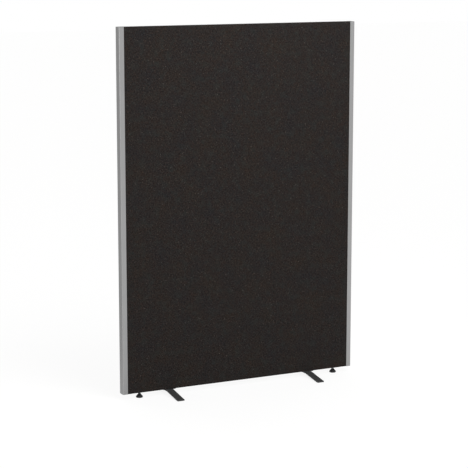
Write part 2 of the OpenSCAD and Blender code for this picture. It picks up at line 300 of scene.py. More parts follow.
def tube(rings, flat_ends=False):
    """Points and faces of a closed tube through rings of shape (rows, columns, 3). An end is a fan to the mean
    point of its ring, or one face."""
    rows, columns = rings.shape[:2]
    points = rings.reshape(-1, 3)
    faces = grid_faces(rows, columns, closed=True).tolist()
    first = np.arange(columns)
    last = first + (rows - 1) * columns
    if flat_ends:
        return points, faces + [first[::-1].tolist(), last.tolist()]
    middles = np.stack([rings[0].mean(axis=0), rings[-1].mean(axis=0)])
    low = np.stack([np.roll(first, -1), first, np.full(columns, len(points))], axis=-1)
    high = np.stack([last, np.roll(last, -1), np.full(columns, len(points) + 1)], axis=-1)
    return np.vstack([points, middles]), faces + low.tolist() + high.tolist()


def around(centre, radius, angle, height):
    """Grid of points at these radii, angles and heights about the upright axis at centre."""
    radius, angle, height = np.broadcast_arrays(radius, angle, height)
    return np.stack([centre[0] + radius * np.cos(angle), centre[1] + radius * np.sin(angle), height], axis=-1)


def turned(profile, centre, columns=96):
    """Rings of a turned shape: each (radius, height) of the profile goes round the upright axis at centre."""
    return around(centre, profile[:, :1], np.arange(columns) * 2 * np.pi / columns, profile[:, 1:])


def arc(centre, radius, start, end, steps):
    """Points of an arc about a centre, its angle in degrees going evenly from start to end."""
    angle = np.radians(np.linspace(start, end, steps + 1))
    return np.stack([centre[0] + radius * np.cos(angle), centre[1] + radius * np.sin(angle)], axis=-1)


def join(parts):
    """One set of points and faces from several, each part's face numbers raised by the points before it."""
    before = np.cumsum([0] + [len(points) for points, _ in parts])
    faces = [[n + start for n in face] for (_, part), start in zip(parts, before) for face in part]
    return np.vstack([points for points, _ in parts]), faces


print("a tube of 3 rings of 4 points has", len(tube(np.zeros((3, 4, 3)))[1]), "faces")

# %% [markdown]
# A piece is a mesh with its place in its points and its object at the origin, as
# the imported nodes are. Faces are smooth across soft bends and sharp across
# creases, and a weighted normal modifier keeps the large flats truly flat beside
# their small round edges.

# %% Pieces
CREASE = math.radians(35)
SIDES = (("left", -1), ("right", 1))


def piece(name, shape, finish, body, replaces=(), steady_flats=True):
    """A mesh object of a shape (points, faces), on a body and in place of the nodes that it stands for."""
    made = mesh_object(name, *shape, finish)
    made.data.shade_smooth()
    made.data.set_sharp_from_angle(angle=CREASE)
    if steady_flats:
        weighted = made.modifiers.new("steady_flats", "WEIGHTED_NORMAL")
        weighted.keep_sharp = True
    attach(made, body)
    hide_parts(*replaces)
    print(f"{name}: {len(shape[0])} points, {len(shape[1])} faces")
    return made


def box_mm(node):
    """A node's lowest and highest corners in millimetres."""
    low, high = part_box(node)
    return np.array(low) / MM, np.array(high) / MM


# %% [markdown]
# The cloth is a woven melange polyester. Each yarn is spun from black, brown
# and grey fibres, so its tone changes along its length, and neighbouring yarns
# melt into soft mottles. It is a matt dark without shine, and close by a plain
# weave of thick soft yarns. That is how it is made here too: at every crossing
# the upright or the level yarn lies on top, in turn, and all the patterns read
# one vector: the place across that yarn, the place along it and its number.
# They follow the cloth's own flat map, so they run round the edges unbroken.
# The yarns are 1.6 mm apart, about twice as far as real ones, so that the weave
# shows sooner.

# %% Woven melange cloth
CLOTH_MAP = "flat_cloth"
YARN_PITCH = 1.6
YARN_WOBBLE = 0.9
WOBBLE_MM = 7.0
LEVEL_FROM = 5000.5
FIBRE_MM = (0.35, 4.0)
FIBRE_TWIST = math.radians(22)
FIBRE_LAYERS = 0.27
SLUB_MM = 11.0
SLUB_LAYERS = 1.37
DASH_MM = (4.2, 7.5)
SLUB_SHARE = 0.45
DASH_SHARE = 0.66
TONE_SPAN = (0.335, 0.685)
HUE_SPAN = (0.36, 0.64)
DRIFT_MM = 110.0
BLOTCH_MM = 34.0
BLOTCH_SPAN = (0.5, 0.75)
BLOTCH_SHARE = 0.3
NEP_FROM = 0.695
NEP_EDGE = 0.05
ROUND_ACROSS = 0.7
ROUND_ALONG = 0.25
FIBRE_RELIEF = 0.8

# The yarns waver a little. The level ones are numbered far away from the upright ones.
woven_cloth, tree = new_finish("woven_melange_polyester")
flat_map = add(tree, "UVMap", uv_map=CLOTH_MAP)
true_mm = add(tree, "VectorMath", {0: flat_map, "Scale": 1 / MM}, operation="SCALE")
wobble = add(tree, "TexNoise", {"Vector": true_mm, "Scale": 1 / WOBBLE_MM, "Detail": 1.0},
             noise_dimensions="2D")
flat_mm = add(tree, "VectorMath", {0: wobble.outputs["Color"], 1: (YARN_WOBBLE, YARN_WOBBLE, 0), 2: true_mm},
              operation="MULTIPLY_ADD")
yarns = add(tree, "VectorMath", {0: flat_mm, "Scale": 1 / YARN_PITCH}, operation="SCALE")
number = add(tree, "VectorMath", {0: yarns}, operation="FLOOR")
at = add(tree, "SeparateXYZ", {0: flat_mm})
column = add(tree, "SeparateXYZ", {0: number})
count = add(tree, "Math", {0: column.outputs["X"], 1: column.outputs["Y"]}, operation="ADD")
level_on_top = add(tree, "Math", {0: count, 1: 2.0}, operation="FLOORED_MODULO")
row = add(tree, "Math", {0: column.outputs["Y"], 1: LEVEL_FROM}, operation="ADD")
upright = add(tree, "CombineXYZ", {"X": at.outputs["X"], "Y": at.outputs["Y"], "Z": column.outputs["X"]})
level = add(tree, "CombineXYZ", {"X": at.outputs["Y"], "Y": at.outputs["X"], "Z": row})
strand = add(tree, "Mix", {0: level_on_top, 4: upright, 5: level}, data_type="VECTOR")

# Fibres run along their yarn with its twist, and slubs are long thick places. A yarn's number takes it to
# its own layer of the noise, so neighbours are unrelated. Dashes are where some neighbours are alike.
fibre_place = add(tree, "Mapping", {"Vector": strand, "Rotation": (0, 0, FIBRE_TWIST),
                                    "Scale": (*FIBRE_MM, FIBRE_LAYERS)}, vector_type="TEXTURE")
fibres = add(tree, "TexNoise", {"Vector": fibre_place, "Scale": 1.0, "Detail": 1.0})
slub_place = add(tree, "VectorMath", {0: strand, 1: (0, 1 / SLUB_MM, SLUB_LAYERS)}, operation="MULTIPLY")
slubs = add(tree, "TexNoise", {"Vector": slub_place, "Scale": 1.0, "Detail": 1.0})
dash_layer = add(tree, "CombineXYZ", {"Z": level_on_top})
dash_place = add(tree, "VectorMath", {0: strand, 1: (1 / DASH_MM[0], 1 / DASH_MM[1], 0), 2: dash_layer},
                 operation="MULTIPLY_ADD")
dashes = add(tree, "TexNoise", {"Vector": dash_place, "Scale": 1.0, "Detail": 2.0})
some_fibre = add(tree, "Mix", {0: SLUB_SHARE, 6: fibres.outputs["Color"], 7: slubs.outputs["Color"]},
                 data_type="RGBA")
spun = add(tree, "Mix", {0: DASH_SHARE, 6: some_fibre, 7: dashes.outputs["Color"]}, data_type="RGBA")
spun_parts = add(tree, "SeparateColor", {0: spun})
shade = add(tree, "MapRange", {"Value": spun_parts.outputs["Red"], "From Min": TONE_SPAN[0],
                               "From Max": TONE_SPAN[1]})
yarn_tone = add(tree, "Mix", {0: shade, 6: "#050505", 7: "#3e3836"}, data_type="RGBA")
hue = add(tree, "MapRange", {"Value": spun_parts.outputs["Green"], "From Min": HUE_SPAN[0],
                             "From Max": HUE_SPAN[1]})
yarn_hue = add(tree, "Mix", {0: hue, 6: (1.22, 0.96, 0.84, 1), 7: (0.78, 1.04, 1.14, 1)}, data_type="RGBA")
tinted = add(tree, "Mix", {0: 1.0, 6: yarn_tone, 7: yarn_hue}, data_type="RGBA", blend_type="MULTIPLY")

# The dye lot drifts slowly over the cloth, and here and there a few yarns in a row are greyer.
drift = add(tree, "TexNoise", {"Vector": flat_mm, "Scale": 1 / DRIFT_MM, "Detail": 1.0},
            noise_dimensions="2D")
drift_tint = add(tree, "Mix", {0: drift, 6: (1.16, 1.07, 0.94, 1), 7: (0.87, 0.96, 1.08, 1)},
                 data_type="RGBA")
drifted = add(tree, "Mix", {0: 1.0, 6: tinted, 7: drift_tint}, data_type="RGBA", blend_type="MULTIPLY")
blotches = add(tree, "TexNoise", {"Vector": flat_mm, "Scale": 1 / BLOTCH_MM, "Detail": 2.0},
               noise_dimensions="2D")
greyer = add(tree, "MapRange", {"Value": blotches, "From Min": BLOTCH_SPAN[0], "From Max": BLOTCH_SPAN[1],
                                "To Max": BLOTCH_SHARE})
ground = add(tree, "Mix", {0: greyer, 6: drifted, 7: "#2f3432"}, data_type="RGBA")

# A nep is a small knot of undyed fibres that was spun in: a rare pale speck one or two yarns wide.
dash_parts = add(tree, "SeparateColor", {0: dashes.outputs["Color"]})
nep = add(tree, "MapRange", {"Value": dash_parts.outputs["Blue"], "From Min": NEP_FROM,
                             "From Max": NEP_FROM + NEP_EDGE})
nep_fibres = add(tree, "Math", {0: nep, 1: fibres}, operation="MULTIPLY")
cloth_colour = add(tree, "Mix", {0: nep_fibres, 6: ground, 7: "#a0988c"}, data_type="RGBA")

# A crossing is round across the yarn on top and nearly level along it, and its height gives the relief.
# Where that height falls, at the yarn's ends and between the yarns, the colour is darkened: painted shade.
half_turns = add(tree, "VectorMath", {0: strand, "Scale": math.pi / YARN_PITCH}, operation="SCALE")
waves = add(tree, "VectorMath", {0: half_turns}, operation="SINE")
heights = add(tree, "VectorMath", {0: waves}, operation="ABSOLUTE")
height_of = add(tree, "SeparateXYZ", {0: heights})
across = add(tree, "Math", {0: height_of.outputs["X"], 1: ROUND_ACROSS}, operation="POWER")
along = add(tree, "Math", {0: height_of.outputs["Y"], 1: ROUND_ALONG}, operation="POWER")
pillow = add(tree, "Math", {0: across, 1: along}, operation="MULTIPLY")
# Painted shade: the share of the yarn's colour that is kept, 0.4 between the yarns and 1 on top of a crossing.
painted_weave_shade = add(tree, "MapRange", {"Value": pillow, "From Max": 0.7, "To Min": 0.4})
cloth_colour = add(tree, "Mix", {0: painted_weave_shade, 6: "#0d0b0b", 7: cloth_colour}, data_type="RGBA")
relief = add(tree, "Math", {0: fibres, 1: FIBRE_RELIEF, 2: pillow}, operation="MULTIPLY_ADD")
end_finish(tree, cloth_colour, {"Roughness": 0.95, "Specular IOR Level": 0.05, "Sheen Weight": 0.01,
                                "Sheen Roughness": 0.6}, (relief, 0.5, 0.3))
print("cloth finish:", len(tree.nodes), "nodes, yarns", YARN_PITCH, "mm apart")

# %% [markdown]
# Each cover is one rectangle of cloth stretched over the panel, with its
# margins turned in on all four sides and its corners cut away. A stretched
# cover is flat, so it isn't simulated but computed: two wrap functions, one
# across and one up, say how far the cloth has come and how deep it has turned
# in, and their sum is the surface.

# %% Cover shape
CLOTH_THICK = 0.7
CLOTH_TURN_R = 2.0
SEAM_HALF = 0.08
SPINE_SLOT_HALF = 1.4
SPINE_REACH_X = 14.0
PRESSED_DEPTH = 0.3
PRESSED_WIDTH = 5.0
UNEVEN = 0.12
UNEVEN_WAVES = (83.0, 131.0)

cover_low, cover_high = box_mm("front_cover")
trim_low, trim_high = box_mm("left_edge_trim")
cover_half_w = cover_high[0]
cover_half_h = (cover_high[2] - cover_low[2]) / 2
cover_mid_z = (cover_high[2] + cover_low[2]) / 2
cover_depth = -cover_low[1]
lip_x = -trim_high[0]


def wrap(distance, half):
    """Where cloth lies that runs this far from the middle of a board: straight, a quarter turn of radius r,
    then straight in. Gives its place across the board and its depth behind the face."""
    r = CLOTH_TURN_R
    run = np.abs(distance)
    turn = np.clip((run - (half - r)) / r, 0, np.pi / 2)
    place = np.minimum(run, half - r) + r * np.sin(turn)
    depth = r * (1 - np.cos(turn)) + np.maximum(run - (half - r) - r * np.pi / 2, 0)
    return np.sign(distance) * place, depth


def stations(*stops):
    """Distances from the middle outwards, mirrored. A stop (distance, count) starts count even steps."""
    half = [np.linspace(a[0], b[0], b[1], endpoint=False) for a, b in zip(stops, stops[1:])]
    half = np.concatenate(half + [[stops[-1][0]]])
    return np.concatenate([-half[:0:-1], half])


def flat_reach(half, stop_depth):
    """Flat length from the middle of the board to where the margin has come this deep."""
    return half - CLOTH_TURN_R + CLOTH_TURN_R * np.pi / 2 + stop_depth - CLOTH_TURN_R


def cover(facing):
    """Points, faces, flat coordinates and flat size of one cover. Its depth at (u, v) is depth_x(u) +
    depth_z(v), a little more under the trims. Its corners and the slots for the spines are cut away."""
    margin_x = flat_reach(cover_half_w, CLOTH_TURN_R)
    margin_z = flat_reach(cover_half_h, CLOTH_TURN_R)
    end_x = flat_reach(cover_half_w, cover_depth - SPINE_SLOT_HALF)
    slot_z = flat_reach(cover_half_h, cover_depth - SPINE_SLOT_HALF)
    end_z = flat_reach(cover_half_h, cover_depth - SEAM_HALF)
    slot_x = cover_half_w - SPINE_REACH_X
    u = stations((0, 0), (lip_x - 2 * PRESSED_WIDTH, 47), (lip_x, 8), (slot_x, 2),
                 (cover_half_w - CLOTH_TURN_R, 8), (margin_x, 5), (end_x, 5))
    v = stations((0, 0), (cover_half_h - CLOTH_TURN_R, 68), (margin_z, 5), (slot_z, 5), (end_z, 3))
    x, depth_x = wrap(u, cover_half_w)
    z, depth_z = wrap(v, cover_half_h)
    # The cut edge of each margin rolls in at the seam along the middle of the panel's edge.
    roll = np.clip((np.abs(v) - slot_z) / (end_z - slot_z), 0, 1) ** 2 * CLOTH_THICK
    z = z - np.sign(v) * roll
    press = PRESSED_DEPTH * (1 - np.clip((lip_x - np.abs(x)) / PRESSED_WIDTH, 0, 1)) ** 2
    uneven = UNEVEN * np.sin(x[None, :] / UNEVEN_WAVES[0] + 0.7) * np.sin(z[:, None] / UNEVEN_WAVES[1] + 0.3)
    on_face = (depth_x[None, :] < 0.01) & (depth_z[:, None] < 0.01)
    depth = depth_x[None, :] + depth_z[:, None] + (press[None, :] + np.abs(uneven)) * on_face
    shape = depth.shape
    points = np.stack([np.broadcast_to(x, shape), facing * (cover_depth - depth),
                       np.broadcast_to(z[:, None] + cover_mid_z, shape)], axis=-1)
    flat = np.stack([np.broadcast_to(u, shape), np.broadcast_to(v[:, None], shape)], axis=-1)
    cell_u = np.abs(u[1:] + u[:-1]) / 2
    cell_v = np.abs(v[1:] + v[:-1]) / 2
    corner = (cell_u[None, :] > margin_x) & (cell_v[:, None] > margin_z)
    spine_slot = (cell_u[None, :] > slot_x) & (cell_v[:, None] > slot_z)
    faces = grid_faces(*shape)[~(corner | spine_slot).ravel()]
    if facing > 0:
        faces = faces[:, ::-1]
    used, faces = np.unique(faces, return_inverse=True)
    area = (2 * end_x) * (2 * end_z) - 4 * ((end_x - margin_x) * (end_z - margin_z))
    size = (2 * end_x * MM, 2 * end_z * MM, area * MM * MM)
    return points.reshape(-1, 3)[used], faces.reshape(-1, 4), flat.reshape(-1, 2)[used], size


seam_reach = flat_reach(cover_half_h, cover_depth - SEAM_HALF)
print("cloth runs", round(seam_reach, 1), "mm from the middle to the seam")

# %% [markdown]
# The margins under the bottom rail have punched holes for the studs of the
# glides and for the foot bolts. A hole is a boolean cut with a round cutter,
# applied at once so that the piece stays one plain mesh. The same cut drills
# the feet.

# %% Covers
def cut(made, cutters):
    """Take closed shapes out of a piece with booleans, keep the result as its mesh and delete the cutters."""
    for shape in cutters:
        drill = made.modifiers.new("drill", "BOOLEAN")
        drill.operation = "DIFFERENCE"
        drill.object = mesh_object("cutter", *shape)
    graph = bpy.context.evaluated_depsgraph_get()
    result = bpy.data.meshes.new_from_object(made.evaluated_get(graph), preserve_all_data_layers=True,
                                             depsgraph=graph)
    for drill in [m for m in made.modifiers if m.type == "BOOLEAN"]:
        bpy.data.objects.remove(drill.object)
        made.modifiers.remove(drill)
    made.data = result


def drill_bit(x, diameter, low, high):
    """A closed upright cylinder at x on the middle plane of the panel."""
    profile = np.array([[diameter / 2, low], [diameter / 2, high]])
    return tube(turned(profile, (x, 0), 32))


glide_low, glide_high = box_mm("right_glide_base")
bar_low, bar_high = box_mm("right_foot_bar")
glide_x = (glide_low[0] + glide_high[0]) / 2
foot_x = (bar_low[0] + bar_high[0]) / 2
BOLT_PITCH = 18.0
BOLT_HOLE = 6.6
STUD_HOLE = 8.6
BIT_CLEAR = 3.0
bolt_x = {name: [side * foot_x + end * BOLT_PITCH / 2 for end in (-1, 1)] for name, side in SIDES}

for end, facing in (("front", -1), ("rear", 1)):
    name = f"{end}_cloth"
    points, faces, flat, size = cover(facing)
    cloth = mesh_object(name, points, faces.tolist(), woven_cloth)
    mesh = cloth.data
    layer = mesh.uv_layers.new(name=CLOTH_MAP)
    corner_points = np.empty(len(mesh.loops), dtype=np.int32)
    mesh.loops.foreach_get("vertex_index", corner_points)
    layer.uv.foreach_set("vector", (flat[corner_points] * MM).ravel())
    mesh.shade_smooth()
    thickness = cloth.modifiers.new("cloth_thickness", "SOLIDIFY")
    thickness.thickness = CLOTH_THICK * MM
    thickness.offset = -1
    bottom = (cover_low[2] - BIT_CLEAR, cover_low[2] + BIT_CLEAR)
    bits = [drill_bit(side * glide_x, STUD_HOLE, *bottom) for side in (-1, 1)]
    bits += [drill_bit(x, BOLT_HOLE, *bottom) for x in bolt_x["left"] + bolt_x["right"]]
    cut(cloth, bits)
    cloth.modifiers.clear()
    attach(cloth, "screen")
    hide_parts(f"{end}_cover")
    print(f"{name}: {len(cloth.data.polygons)} faces, cut {size[0]:.3f} by {size[1]:.3f} m")

# %% [markdown]
# The trims are extruded aluminium, etched and anodised in its natural silver.
# The oxide gives a satin metal without bright spots, and the die leaves faint
# lines along the length. They are drawn as a grain that is 0.8 mm wide, coarser
# than real so that it can show, and two thirds of a metre long. The coated
# feet, the moulded glides and the sewing thread also have clouds in their tone
# and a grain in their gloss and relief, so one function makes all four.

# %% Satin anodised aluminium
DIE_LINE_MM = 0.8
DIE_LINE_LONG = 667.0


def grained(name, tones, cloud_mm, grain_mm, gloss, relief, surface):
    """Two tones mixed by clouds of one size. A grain, sized along each axis, moves the roughness between two
    values and gives a relief of some strength and height. The surface has the shader's other values."""
    finish, tree = new_finish(name)
    place = add(tree, "TexCoord").outputs["Object"]
    clouds = add(tree, "TexNoise", {"Vector": place, "Scale": 1 / (cloud_mm * MM), "Detail": 2.0})
    sized = add(tree, "Mapping", {"Vector": place, "Scale": [1 / (mm * MM) for mm in grain_mm]})
    grain = add(tree, "TexNoise", {"Vector": sized, "Scale": 1.0, "Detail": 2.0})
    tone = add(tree, "Mix", {0: clouds, 6: tones[0], 7: tones[1]}, data_type="RGBA")
    rough = add(tree, "MapRange", {"Value": grain, "To Min": gloss[0], "To Max": gloss[1]})
    end_finish(tree, tone, {"Roughness": rough, **surface}, (grain, *relief))
    return finish


anodised = grained("satin_anodised_aluminium", ("#989898", "#a0a0a0"), 111.0,
                   (DIE_LINE_MM, DIE_LINE_MM, DIE_LINE_LONG), gloss=(0.32, 0.52), relief=(0.3, 0.04),
                   surface={"Metallic": 0.9})
print("aluminium finish: die lines", DIE_LINE_MM, "mm apart")

# %% [markdown]
# Each trim is a channel that grips the cloth with two legs, and a barbed spine
# holds it in the stile's groove. An extrusion has one section along its whole
# length, so the section is drawn once, half of it and its mirror image, and
# carried up the panel. The legs' lips are rounded as a die leaves them, and both
# sawn ends lose a quarter of a millimetre to deburring.

# %% Edge trims
TRIM_WALL = 1.5
TRIM_CORNER_R = 5.0
LIP_OUTER_R = 0.9
LIP_INNER_R = 0.3
SPINE_THICK = 1.6
SPINE_TIP = 18.0
BARB_HEIGHT = 0.5
BARB_PITCH = 3.0
BARB_RISE = 0.8
BARB_COUNT = 4
DEBURR = 0.25


def trim_section():
    """Outline of the channel and its spine, outer face at x = 0 and body towards -x. The upper half goes from
    the outer corner over the leg and its lip, back inside and along the spine. The lower half mirrors it."""
    half = trim_high[1]
    inner = half - TRIM_WALL
    reach = trim_high[0] - trim_low[0]
    corner = (-TRIM_CORNER_R, half - TRIM_CORNER_R)
    start = np.arange(BARB_COUNT)[::-1] * BARB_PITCH - SPINE_TIP
    steps = np.array([[BARB_RISE * BARB_PITCH, 0], [BARB_RISE * BARB_PITCH, BARB_HEIGHT], [0, 0]])
    barbs = (start[:, None, None] * [1, 0] + steps + [0, SPINE_THICK / 2]).reshape(-1, 2)
    upper = np.concatenate([
        arc(corner, TRIM_CORNER_R, 0, 90, 10),
        arc((-reach + LIP_OUTER_R, half - LIP_OUTER_R), LIP_OUTER_R, 90, 180, 5),
        arc((-reach + LIP_INNER_R, inner + LIP_INNER_R), LIP_INNER_R, 180, 270, 3),
        arc(corner, TRIM_CORNER_R - TRIM_WALL, 90, 0, 8),
        [[-TRIM_WALL, SPINE_THICK / 2]],
        barbs])
    return np.concatenate([upper, upper[::-1] * [1, -1]])


def inward(outline, distance):
    """The outline moved inwards by a distance, square to the line through each point's two neighbours."""
    along = np.roll(outline, -1, axis=0) - np.roll(outline, 1, axis=0)
    along /= np.linalg.norm(along, axis=1, keepdims=True)
    return outline + distance * np.stack([-along[:, 1], along[:, 0]], axis=-1)


def edge_trim(side):
    """The section at the panel's edge, carried from the trim's lower end to its upper one, both deburred."""
    section = trim_section()
    foot, top = trim_low[2], trim_high[2]
    rings = []
    for height, burr in ((foot, DEBURR), (foot + DEBURR, 0), (top - DEBURR, 0), (top, DEBURR)):
        outline = inward(section, burr) if burr else section
        x = side * (outline[:, 0] - trim_low[0])
        rings.append(np.stack([x, outline[:, 1], np.full(len(x), height)], axis=-1))
    rings = np.array(rings)
    return tube(rings if side > 0 else rings[:, ::-1], flat_ends=True)


for name, side in SIDES:
    piece(f"{name}_edge_trim_profile", edge_trim(side), anodised, "screen",
          [f"{name}_edge_trim"])

# %% [markdown]
# The feet are cut from flat steel bar, bent twice on each side and powder coated
# in a near black. The coating melts to a fine orange peel, matt but not flat: it
# catches a soft grey from the sky. The peel is about 0.9 mm across.

# %% Textured powder coat
PEEL_MM = 0.9

powder_coat = grained("textured_powder_coat", ("#363636", "#3c3c3c"), 14.0, [PEEL_MM] * 3,
                      gloss=(0.5, 0.72), relief=(0.4, 0.06), surface={"Specular IOR Level": 0.35})
print("powder coat: orange peel", PEEL_MM, "mm across")

# %% [markdown]
# A bent bar is a straight one whose middle line has been given a heading. The
# heading is level on the seat, turns evenly through each bend and is level again
# on the toe, so it is a broken line over the bar's length; adding up its cosine
# and sine gives the curve. The section is a rectangle with slightly rounded
# edges, and its width follows the rounded plan of the bar's ends.

# %% Feet
BAR_THICK = 6.0
BAR_EDGE_R = 0.8
BAR_PLAN_R = 4.0
BEND_R = 18.0
SEAT_HALF = 22.0
TOE = 12.0
SEAT_STEP = 5.0
ARM_STEP = 8.0
BEND_POINTS = 9
CORNER_POINTS = 6
LINE_POINTS = 4001


def bend_line():
    """Length of half the bar, the distances along it where its bends start and end, and the arm's slope."""
    run = bar_high[1] - TOE - SEAT_HALF
    slope = math.atan2(bar_high[2] - BAR_THICK, run)
    back = BEND_R * math.tan(slope / 2)
    marks = np.cumsum([SEAT_HALF - back, BEND_R * slope, run / math.cos(slope) - 2 * back, BEND_R * slope])
    return marks[-1] + TOE - back, marks, slope


def foot_bar(centre_x):
    """Rings of the bar: at each distance s a rounded rectangle stands square to the middle line, which goes
    through (sum of cos heading, -sum of sin heading)."""
    length, marks, slope = bend_line()
    fine = np.linspace(0, length, LINE_POINTS)
    heading = np.interp(fine, marks, [0, slope, slope, 0])
    halfway = (heading[1:] + heading[:-1]) / 2
    y_line, drop = [np.concatenate([[0], np.cumsum(part(halfway) * np.diff(fine))])
                    for part in (np.cos, np.sin)]
    plan_turn = length - BAR_PLAN_R + BAR_PLAN_R * np.sin(np.radians(np.arange(0, 50, 10)))
    edge_turn = length - BAR_EDGE_R + BAR_EDGE_R * np.sin(np.radians(np.arange(0, 90, 17)))
    bends = [np.linspace(marks[i], marks[i + 1], BEND_POINTS) for i in (0, 2)]
    seat = np.arange(0, marks[0], SEAT_STEP)
    arm = np.arange(marks[1] + ARM_STEP / 2, marks[2], ARM_STEP)
    half = np.unique(np.concatenate([seat, arm, *bends, plan_turn, edge_turn]))
    s = np.concatenate([-half[:0:-1], half])
    run = np.abs(s)
    past_plan = np.clip(run - (length - BAR_PLAN_R), 0, BAR_PLAN_R)
    half_w = (bar_high[0] - bar_low[0]) / 2 - BAR_PLAN_R + np.sqrt(BAR_PLAN_R ** 2 - past_plan ** 2)
    past_edge = np.clip(run - (length - BAR_EDGE_R), 0, BAR_EDGE_R)
    edge = np.sqrt(BAR_EDGE_R ** 2 - past_edge ** 2)
    turn = -np.radians(np.concatenate([90 * q + np.linspace(0, 90, CORNER_POINTS) for q in range(4)]))
    corner_x = np.repeat([1, -1, -1, 1], CORNER_POINTS)
    corner_z = np.repeat([-1, -1, 1, 1], CORNER_POINTS)
    a = (half_w - BAR_EDGE_R)[:, None] * corner_x + edge[:, None] * np.cos(turn)
    b = (BAR_THICK / 2 - BAR_EDGE_R) * corner_z + edge[:, None] * np.sin(turn)
    tilt = np.sign(s) * np.interp(run, fine, heading)
    y = np.sign(s) * np.interp(run, fine, y_line)
    z = bar_high[2] - BAR_THICK / 2 - np.interp(run, fine, drop)
    tilt, y, z = tilt[:, None], y[:, None], z[:, None]
    return np.stack([centre_x + a, y + b * np.sin(tilt), z + b * np.cos(tilt)], axis=-1)


for name, side in SIDES:
    bar = piece(f"{name}_foot", tube(foot_bar(side * foot_x)), powder_coat, "screen",
                [f"{name}_foot_bar"], steady_flats=False)
    cut(bar, [drill_bit(x, BOLT_HOLE, 0, bar_high[2] + BIT_CLEAR) for x in bolt_x[name]])
    bar.modifiers.new("steady_flats", "WEIGHTED_NORMAL").keep_sharp = True

# %% [markdown]
# The glides are moulded in black polypropylene. Their skin is matt from a
# spark-eroded mould, so a fine grain of 0.5 mm breaks the reflection up.

# %% Moulded black plastic
GRAIN_MM = 0.5

moulded_plastic = grained("moulded_black_polypropylene", ("#171718", "#1e1e1f"), 6.0, [GRAIN_MM] * 3,
                          gloss=(0.42, 0.6), relief=(0.25, 0.03), surface={"Specular IOR Level": 0.4})
print("plastic: grain", GRAIN_MM, "mm")

# %% [markdown]
# A glide's base is round, so its half outline is turned about the upright axis.
# The outline starts under the base, rounds the lower edge, climbs the rim, runs
# up a slightly crowned cone to the neck, and goes down into the socket that the
# stud turns in.

# %% Glide bases
RIM = 7.0
CONE = 10.0
NECK_R = 6.0
FOOT_EDGE_R = 2.5
RIM_EDGE_R = 1.5
CONE_CROWN = 0.5
SOCKET_R = 4.05
SOCKET_DEPTH = 10.0
NECK_EDGE = 0.4


def glide_profile(radius, height):
    """(radius, height) along the half outline. The cone is a straight line plus crown * sin(pi t)."""
    t = np.linspace(0, 1, 13)[:, None]
    foot_of_cone = np.array([radius - RIM_EDGE_R, RIM])
    top_of_cone = np.array([NECK_R, RIM + CONE])
    cone = foot_of_cone + t * (top_of_cone - foot_of_cone) + CONE_CROWN * np.sin(np.pi * t) * [1, 0]
    return np.concatenate([
        arc((radius - FOOT_EDGE_R, FOOT_EDGE_R), FOOT_EDGE_R, -90, 0, 6),
        arc((radius - RIM_EDGE_R, RIM - RIM_EDGE_R), RIM_EDGE_R, 0, 90, 5)[:-1],
        cone,
        arc((NECK_R - NECK_EDGE, height - NECK_EDGE), NECK_EDGE, 0, 90, 4),
        arc((SOCKET_R + NECK_EDGE, height - NECK_EDGE), NECK_EDGE, 90, 180, 4),
        [[SOCKET_R, height - SOCKET_DEPTH]]])


for name, side in SIDES:
    outline = glide_profile((glide_high[0] - glide_low[0]) / 2, glide_high[2])
    piece(f"{name}_glide_foot", tube(turned(outline, (side * glide_x, 0))), moulded_plastic,
          f"{name}_glide_base", [f"{name}_glide_base"])

# %% [markdown]
# Studs and bolts are bright zinc plated steel: a hard metal with a faint blue
# cast, whose plating dulls in small clouds. The stud carries a right-hand M8
# thread. A thread is a radius that depends on height and on angle together, so
# the same formula gives both the ridge and its slope. Turned right-handed by
# one turn while it moves one pitch, that surface falls on itself, as a real one
# does.

# %% Zinc plated steel and threads
PLATING_MM = 3.0
THREAD_DEPTH = 0.54
THREAD_FLAT = 0.15
STEPS_A_PITCH = 8
STUD_PITCH = 1.25

zinc, tree = new_finish("bright_zinc_plated_steel")
place = add(tree, "TexCoord").outputs["Object"]
clouds = add(tree, "TexNoise", {"Vector": place, "Scale": 1 / (PLATING_MM * MM), "Detail": 3.0})
zinc_tone = add(tree, "Mix", {0: clouds, 6: "#a3a8ae", 7: "#c3c7cb"}, data_type="RGBA")
gloss = add(tree, "MapRange", {"Value": clouds, "To Min": 0.22, "To Max": 0.42})
end_finish(tree, zinc_tone, {"Roughness": gloss, "Metallic": 1.0})


def threaded_rod(centre, radius, pitch, low, high, thread_from, columns=24):
    """Rings of a rod with a right-hand thread. The radius dips by depth times a clipped triangle wave of
    height / pitch - angle / (2 pi). The wave fades out over a pitch at both ends, and the tip is chamfered."""
    depth = THREAD_DEPTH * pitch
    height = np.linspace(low, high, int((high - low) / pitch * STEPS_A_PITCH) + 1)[:, None]
    angle = (np.arange(columns) * 2 * np.pi / columns)[None, :]
    phase = np.mod(height / pitch - angle / (2 * np.pi), 1.0)
    wave = np.clip((np.abs(2 * phase - 1) - THREAD_FLAT) / (1 - 2 * THREAD_FLAT), 0, 1)
    fade = np.clip(np.minimum(height - thread_from, high - height) / pitch, 0, 1)
    chamfer = np.clip(height - (high - depth), 0, depth)
    return around(centre, radius - np.maximum(depth * wave * fade, chamfer), angle, height)


for name, side in SIDES:
    low, high = box_mm(f"{name}_glide_stud")
    radius = (high[0] - low[0]) / 2
    rod = threaded_rod((side * glide_x, 0), radius, STUD_PITCH, low[2], high[2], glide_high[2])
    piece(f"{name}_glide_screw", tube(rod), zinc, f"{name}_glide_stud", [f"{name}_glide_stud"])

# %% [markdown]
# Two M6 hexagon bolts hold each foot. A hexagon in polar form is its apothem
# divided by the cosine of the angle to the nearest flat, and a head is that
# radius cut off by the cone that a lathe leaves on its corners. Head and shank
# are one turned tube whose radius varies with the angle.

# %% Foot bolts
BOLT_R = 3.0
BOLT_THREAD = 1.0
HEAD_FLATS = 10.0
HEAD_RINGS = np.array([(4.6, 0), (5.1, 0.2), (5.45, 0.4), (5.8, 0.65), (5.8, 3.75), (5.45, 4.0)])
BARE_SHANK = 2.0


